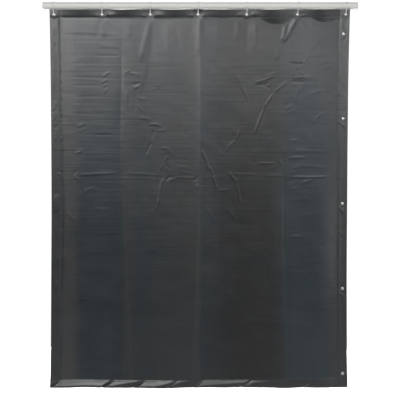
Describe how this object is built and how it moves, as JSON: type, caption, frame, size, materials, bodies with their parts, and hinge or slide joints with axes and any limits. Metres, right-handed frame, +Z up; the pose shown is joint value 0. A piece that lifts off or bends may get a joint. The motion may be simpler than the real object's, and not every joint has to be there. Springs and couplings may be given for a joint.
{
  "type": "welding curtain screen",
  "caption": "Dark PVC welding curtain that hangs by wire hooks from a round rail, slides and draws along it in pleats, and joins its neighbours by press studs.",
  "frame": {"origin": "middle of the rail, on its axis", "axes": "+X along the rail, -Y out of the curtain's front, +Z up"},
  "size_m": [1.47, 0.0412, 1.8016],
  "materials": {
    "rail_paint": "satin light grey paint",
    "hook_wire": "zinc-plated wire",
    "eyelet_metal": "nickel-plated",
    "press_stud_metal": "nickel-plated",
    "curtain_pvc": "satin PVC film"
  },
  "bodies": {
    "rail": {"rail_tube": "rail_paint"},
    "hook_1": {"curtain_hook_1": "hook_wire"},
    "band_1": {"curtain_band_1": "curtain_pvc", "eyelet_1": "eyelet_metal", "press_stud_balls": "press_stud_metal", "press_stud_post_1": "press_stud_metal", "press_stud_post_2": "press_stud_metal", "press_stud_post_3": "press_stud_metal", "press_stud_post_4": "press_stud_metal", "press_stud_post_5": "press_stud_metal"},
    "panel_1a": {"curtain_panel_1a": "curtain_pvc"},
    "panel_1b": {"curtain_panel_1b": "curtain_pvc"},
    "band_2": {"curtain_band_2": "curtain_pvc", "eyelet_2": "eyelet_metal"},
    "hook_2": {"curtain_hook_2": "hook_wire"},
    "panel_2a": {"curtain_panel_2a": "curtain_pvc"},
    "panel_2b": {"curtain_panel_2b": "curtain_pvc"},
    "band_3": {"curtain_band_3": "curtain_pvc", "eyelet_3": "eyelet_metal"},
    "hook_3": {"curtain_hook_3": "hook_wire"},
    "panel_3a": {"curtain_panel_3a": "curtain_pvc"},
    "panel_3b": {"curtain_panel_3b": "curtain_pvc"},
    "band_4": {"curtain_band_4": "curtain_pvc", "eyelet_4": "eyelet_metal"},
    "hook_4": {"curtain_hook_4": "hook_wire"},
    "panel_4a": {"curtain_panel_4a": "curtain_pvc"},
    "panel_4b": {"curtain_panel_4b": "curtain_pvc"},
    "band_5": {"curtain_band_5": "curtain_pvc", "eyelet_5": "eyelet_metal"},
    "hook_5": {"curtain_hook_5": "hook_wire"},
    "panel_5a": {"curtain_panel_5a": "curtain_pvc"},
    "panel_5b": {"curtain_panel_5b": "curtain_pvc"},
    "band_6": {"curtain_band_6": "curtain_pvc", "eyelet_6": "eyelet_metal"},
    "hook_6": {"curtain_hook_6": "hook_wire"},
    "panel_6a": {"curtain_panel_6a": "curtain_pvc"},
    "panel_6b": {"curtain_panel_6b": "curtain_pvc"},
    "band_7": {"curtain_band_7": "curtain_pvc", "eyelet_7": "eyelet_metal", "press_stud_caps": "press_stud_metal", "press_stud_sockets": "press_stud_metal"},
    "hook_7": {"curtain_hook_7": "hook_wire"}
  },
  "joints": [
    {"name": "curtain_slide", "type": "slide", "parent": "rail", "child": "hook_1", "axis": [1, 0, 0], "range_m": [-0.04, 0.04]},
    {"name": "curtain_swing", "type": "hinge", "parent": "hook_1", "child": "band_1", "pos_m": [-0.6826, 0, -0.038], "axis": [1, 0, 0], "range_deg": [-15, 15]},
    {"name": "curtain_draw", "type": "hinge", "parent": "band_1", "child": "panel_1a", "pos_m": [-0.658, 0, 0], "axis": [0, 0, -1], "range_deg": [0, 80]},
    {"name": "pleat_1_ridge", "type": "hinge", "parent": "panel_1a", "child": "panel_1b", "pos_m": [-0.56825, 0, 0], "axis": [0, 0, -1], "range_deg": [-160, 0]},
    {"name": "pleat_1_in", "type": "hinge", "parent": "panel_1b", "child": "band_2", "pos_m": [-0.4785, 0, 0], "axis": [0, 0, -1], "range_deg": [0, 80]},
    {"name": "hook_2_hang", "type": "hinge", "parent": "band_2", "child": "hook_2", "pos_m": [-0.4585, 0, -0.038], "axis": [1, 0, 0], "range_deg": [-15, 15]},
    {"name": "pleat_2_out", "type": "hinge", "parent": "band_2", "child": "panel_2a", "pos_m": [-0.4385, 0, 0], "axis": [0, 0, -1], "range_deg": [0, 80]},
    {"name": "pleat_2_ridge", "type": "hinge", "parent": "panel_2a", "child": "panel_2b", "pos_m": [-0.3458, 0, 0], "axis": [0, 0, -1], "range_deg": [-160, 0]},
    {"name": "pleat_2_in", "type": "hinge", "parent": "panel_2b", "child": "band_3", "pos_m": [-0.2531, 0, 0], "axis": [0, 0, -1], "range_deg": [0, 80]},
    {"name": "hook_3_hang", "type": "hinge", "parent": "band_3", "child": "hook_3", "pos_m": [-0.2331, 0, -0.038], "axis": [1, 0, 0], "range_deg": [-15, 15]},
    {"name": "pleat_3_out", "type": "hinge", "parent": "band_3", "child": "panel_3a", "pos_m": [-0.2131, 0, 0], "axis": [0, 0, -1], "range_deg": [0, 80]},
    {"name": "pleat_3_ridge", "type": "hinge", "parent": "panel_3a", "child": "panel_3b", "pos_m": [-0.1218, 0, 0], "axis": [0, 0, -1], "range_deg": [-160, 0]},
    {"name": "pleat_3_in", "type": "hinge", "parent": "panel_3b", "child": "band_4", "pos_m": [-0.0305, 0, 0], "axis": [0, 0, -1], "range_deg": [0, 80]},
    {"name": "hook_4_hang", "type": "hinge", "parent": "band_4", "child": "hook_4", "pos_m": [-0.0105, 0, -0.038], "axis": [1, 0, 0], "range_deg": [-15, 15]},
    {"name": "pleat_4_out", "type": "hinge", "parent": "band_4", "child": "panel_4a", "pos_m": [0.0095, 0, 0], "axis": [0, 0, -1], "range_deg": [0, 80]},
    {"name": "pleat_4_ridge", "type": "hinge", "parent": "panel_4a", "child": "panel_4b", "pos_m": [0.10315, 0, 0], "axis": [0, 0, -1], "range_deg": [-160, 0]},
    {"name": "pleat_4_in", "type": "hinge", "parent": "panel_4b", "child": "band_5", "pos_m": [0.1968, 0, 0], "axis": [0, 0, -1], "range_deg": [0, 80]},
    {"name": "hook_5_hang", "type": "hinge", "parent": "band_5", "child": "hook_5", "pos_m": [0.2168, 0, -0.038], "axis": [1, 0, 0], "range_deg": [-15, 15]},
    {"name": "pleat_5_out", "type": "hinge", "parent": "band_5", "child": "panel_5a", "pos_m": [0.2368, 0, 0], "axis": [0, 0, -1], "range_deg": [0, 80]},
    {"name": "pleat_5_ridge", "type": "hinge", "parent": "panel_5a", "child": "panel_5b", "pos_m": [0.3353, 0, 0], "axis": [0, 0, -1], "range_deg": [-160, 0]},
    {"name": "pleat_5_in", "type": "hinge", "parent": "panel_5b", "child": "band_6", "pos_m": [0.4338, 0, 0], "axis": [0, 0, -1], "range_deg": [0, 80]},
    {"name": "hook_6_hang", "type": "hinge", "parent": "band_6", "child": "hook_6", "pos_m": [0.4538, 0, -0.038], "axis": [1, 0, 0], "range_deg": [-15, 15]},
    {"name": "pleat_6_out", "type": "hinge", "parent": "band_6", "child": "panel_6a", "pos_m": [0.4738, 0, 0], "axis": [0, 0, -1], "range_deg": [0, 80]},
    {"name": "pleat_6_ridge", "type": "hinge", "parent": "panel_6a", "child": "panel_6b", "pos_m": [0.5629, 0, 0], "axis": [0, 0, -1], "range_deg": [-160, 0]},
    {"name": "pleat_6_in", "type": "hinge", "parent": "panel_6b", "child": "band_7", "pos_m": [0.652, 0, 0], "axis": [0, 0, -1], "range_deg": [0, 80]},
    {"name": "hook_7_hang", "type": "hinge", "parent": "band_7", "child": "hook_7", "pos_m": [0.6788, 0, -0.038], "axis": [1, 0, 0], "range_deg": [-15, 15]}
  ],
  "couplings": [
    {"joint": "pleat_1_ridge", "follows": "curtain_draw", "ratio": -2},
    {"joint": "pleat_1_in", "follows": "curtain_draw", "ratio": 1},
    {"joint": "hook_2_hang", "follows": "curtain_swing", "ratio": -1},
    {"joint": "pleat_2_out", "follows": "curtain_draw", "ratio": 1},
    {"joint": "pleat_2_ridge", "follows": "curtain_draw", "ratio": -2},
    {"joint": "pleat_2_in", "follows": "curtain_draw", "ratio": 1},
    {"joint": "hook_3_hang", "follows": "curtain_swing", "ratio": -1},
    {"joint": "pleat_3_out", "follows": "curtain_draw", "ratio": 1},
    {"joint": "pleat_3_ridge", "follows": "curtain_draw", "ratio": -2},
    {"joint": "pleat_3_in", "follows": "curtain_draw", "ratio": 1},
    {"joint": "hook_4_hang", "follows": "curtain_swing", "ratio": -1},
    {"joint": "pleat_4_out", "follows": "curtain_draw", "ratio": 1},
    {"joint": "pleat_4_ridge", "follows": "curtain_draw", "ratio": -2},
    {"joint": "pleat_4_in", "follows": "curtain_draw", "ratio": 1},
    {"joint": "hook_5_hang", "follows": "curtain_swing", "ratio": -1},
    {"joint": "pleat_5_out", "follows": "curtain_draw", "ratio": 1},
    {"joint": "pleat_5_ridge", "follows": "curtain_draw", "ratio": -2},
    {"joint": "pleat_5_in", "follows": "curtain_draw", "ratio": 1},
    {"joint": "hook_6_hang", "follows": "curtain_swing", "ratio": -1},
    {"joint": "pleat_6_out", "follows": "curtain_draw", "ratio": 1},
    {"joint": "pleat_6_ridge", "follows": "curtain_draw", "ratio": -2},
    {"joint": "pleat_6_in", "follows": "curtain_draw", "ratio": 1},
    {"joint": "hook_7_hang", "follows": "curtain_swing", "ratio": -1}
  ]
}
